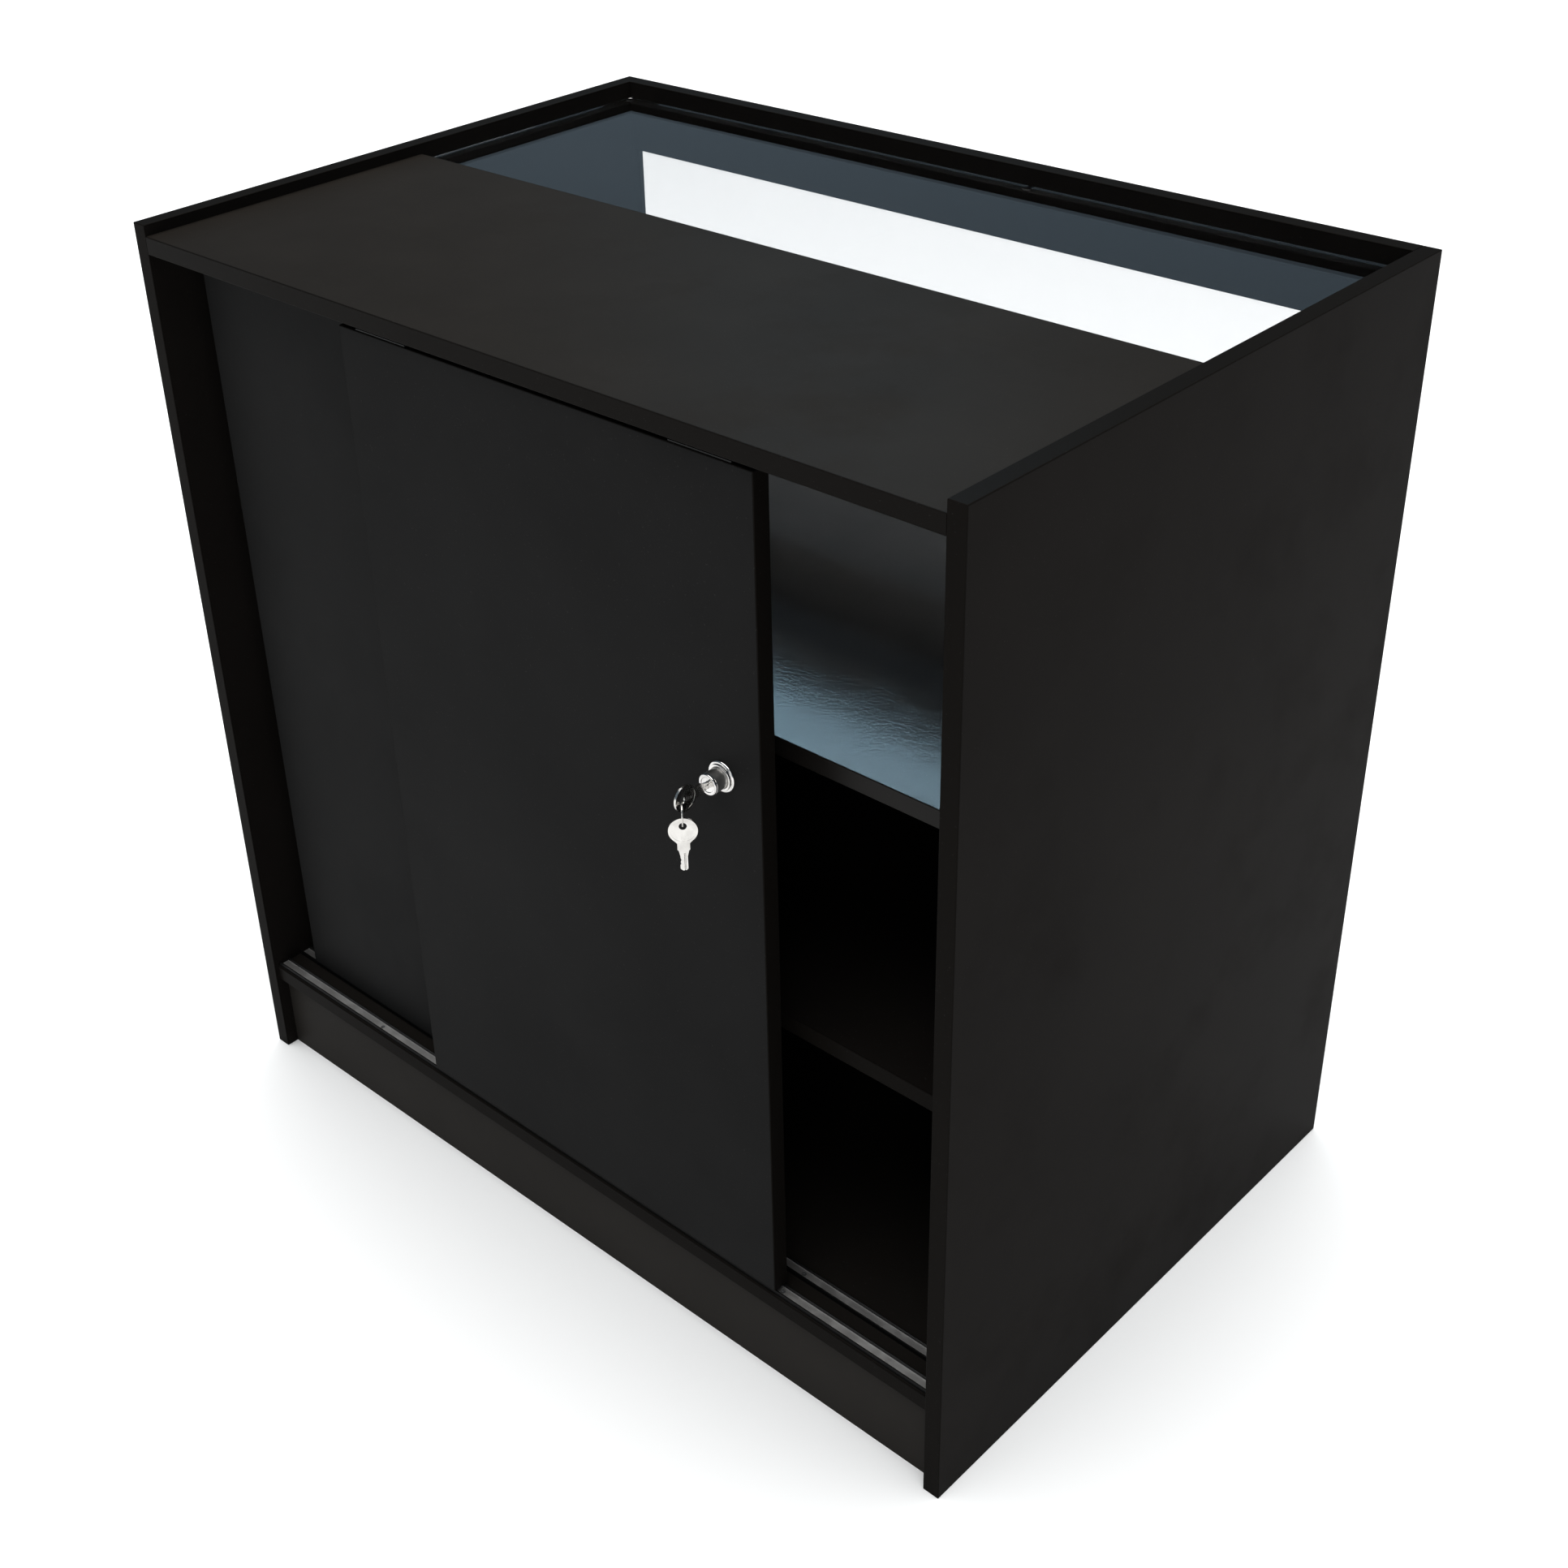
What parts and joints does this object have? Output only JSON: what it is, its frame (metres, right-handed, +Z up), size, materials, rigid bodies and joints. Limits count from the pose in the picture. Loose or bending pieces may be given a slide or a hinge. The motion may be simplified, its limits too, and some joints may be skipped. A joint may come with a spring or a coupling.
{
  "type": "shop display counter",
  "caption": "Floor-standing black shop counter: glass-topped showcase over cupboard space, closed on the staff side by sliding doors with a push lock and keys.",
  "frame": {"origin": "On the floor, under the middle of the whole piece's box, hanging keys included.", "axes": "+X to the right as the staff stand and see it, +Y from the staff to the customer, +Z up."},
  "size_m": [0.9, 0.6474, 0.9],
  "materials": {
    "black_melamine": "fine-grained black melamine-faced board",
    "black_edging": "black edged door board",
    "display_glass": "clear float glass, polished edges",
    "black_trim": "plain black trim",
    "clear_pad": "clear soft bumpers",
    "track_aluminium": "drawn aluminium",
    "black_plastic": "moulded black plastic",
    "white_nylon": "moulded nylon",
    "steel": "zinc-plated steel",
    "cam_alloy": "die-cast zinc",
    "beech": "fluted beech",
    "lock_chrome": "polished chrome",
    "key_nickel": "nickel-plated sheet"
  },
  "bodies": {
    "case": {"base_panel": "black_melamine", "cam_bolts": "steel", "cam_discs": "cam_alloy", "counter_deck": "black_melamine", "display_deck": "black_melamine", "dowels": "beech", "far_guide_channel": "black_plastic", "far_track": "track_aluminium", "front_glass": "display_glass", "front_lower_panel": "black_melamine", "front_top_rail": "black_melamine", "glass_ledge_front": "black_trim", "glass_ledge_left": "black_trim", "glass_ledge_rear": "black_trim", "glass_ledge_right": "black_trim", "glass_pads": "clear_pad", "kick_board": "black_melamine", "left_side_panel": "black_melamine", "near_guide_channel": "black_plastic", "near_track": "track_aluminium", "right_side_panel": "black_melamine", "shelf_pins": "steel", "storage_shelf": "black_melamine", "top_glass": "display_glass", "track_screws": "steel"},
    "near_door": {"near_door_panel": "black_edging", "near_roller_axles": "steel", "near_guide_screws": "steel", "near_left_roller_housing": "black_plastic", "near_left_top_guide": "black_plastic", "near_right_roller_housing": "black_plastic", "near_right_top_guide": "black_plastic", "lock_housing": "lock_chrome", "lock_nut": "steel", "plunger_spring": "steel"},
    "far_door": {"far_door_panel": "black_edging", "far_roller_axles": "steel", "far_guide_screws": "steel", "far_left_roller_housing": "black_plastic", "far_left_top_guide": "black_plastic", "far_right_roller_housing": "black_plastic", "far_right_top_guide": "black_plastic", "strike_bush": "black_plastic"},
    "near_left_wheel": {"near_left_roller": "white_nylon"},
    "near_right_wheel": {"near_right_roller": "white_nylon"},
    "far_left_wheel": {"far_left_roller": "white_nylon"},
    "far_right_wheel": {"far_right_roller": "white_nylon"},
    "lock_bolt": {"lock_plunger": "steel", "plunger_bezel": "lock_chrome"},
    "lock_barrel": {"lock_core": "steel"},
    "lock_key": {"key": "key_nickel"},
    "ring": {"key_ring": "steel"},
    "hanging_key": {"spare_key": "key_nickel"}
  },
  "joints": [
    {"name": "near_door_slide", "type": "slide", "parent": "case", "child": "near_door", "axis": [1, 0, 0], "range_m": [-0.257, 0.166]},
    {"name": "far_door_slide", "type": "slide", "parent": "case", "child": "far_door", "axis": [1, 0, 0], "range_m": [-0.03, 0.393]},
    {"name": "near_left_wheel_roll", "type": "hinge", "parent": "near_door", "child": "near_left_wheel", "pos_m": [-0.117, -0.26379, 0.1145], "axis": [0, 1, 0], "continuous": true},
    {"name": "near_right_wheel_roll", "type": "hinge", "parent": "near_door", "child": "near_right_wheel", "pos_m": [0.208, -0.26379, 0.1145], "axis": [0, 1, 0], "continuous": true},
    {"name": "far_left_wheel_roll", "type": "hinge", "parent": "far_door", "child": "far_left_wheel", "pos_m": [-0.344, -0.23679, 0.1145], "axis": [0, 1, 0], "continuous": true},
    {"name": "far_right_wheel_roll", "type": "hinge", "parent": "far_door", "child": "far_right_wheel", "pos_m": [-0.019, -0.23679, 0.1145], "axis": [0, 1, 0], "continuous": true},
    {"name": "lock_press", "type": "slide", "parent": "near_door", "child": "lock_bolt", "axis": [0, 1, 0], "range_m": [0, 0.012], "stiffness_N_per_m": 400, "springref_m": -0.008, "deforming": ["plunger_spring"]},
    {"name": "key_turn", "type": "hinge", "parent": "lock_bolt", "child": "lock_barrel", "pos_m": [0.229, -0.27179, 0.613], "axis": [0, 1, 0], "range_deg": [0, 90]},
    {"name": "key_withdraw", "type": "slide", "parent": "lock_barrel", "child": "lock_key", "axis": [0, -1, 0], "range_m": [0, 0.012]},
    {"name": "ring_swing", "type": "hinge", "parent": "lock_key", "child": "ring", "pos_m": [0.229, -0.31529, 0.6114], "axis": [0.7071, -0.7071, 0], "range_deg": [-25, 25]},
    {"name": "spare_key_swing", "type": "hinge", "parent": "ring", "child": "hanging_key", "pos_m": [0.229, -0.31529, 0.5924], "axis": [0.7071, -0.7071, 0], "range_deg": [-20, 20]}
  ],
  "couplings": [
    {"joint": "near_left_wheel_roll", "follows": "near_door_slide", "rad_per_m": 111.11},
    {"joint": "near_right_wheel_roll", "follows": "near_door_slide", "rad_per_m": 111.11},
    {"joint": "far_left_wheel_roll", "follows": "far_door_slide", "rad_per_m": 111.11},
    {"joint": "far_right_wheel_roll", "follows": "far_door_slide", "rad_per_m": 111.11}
  ]
}
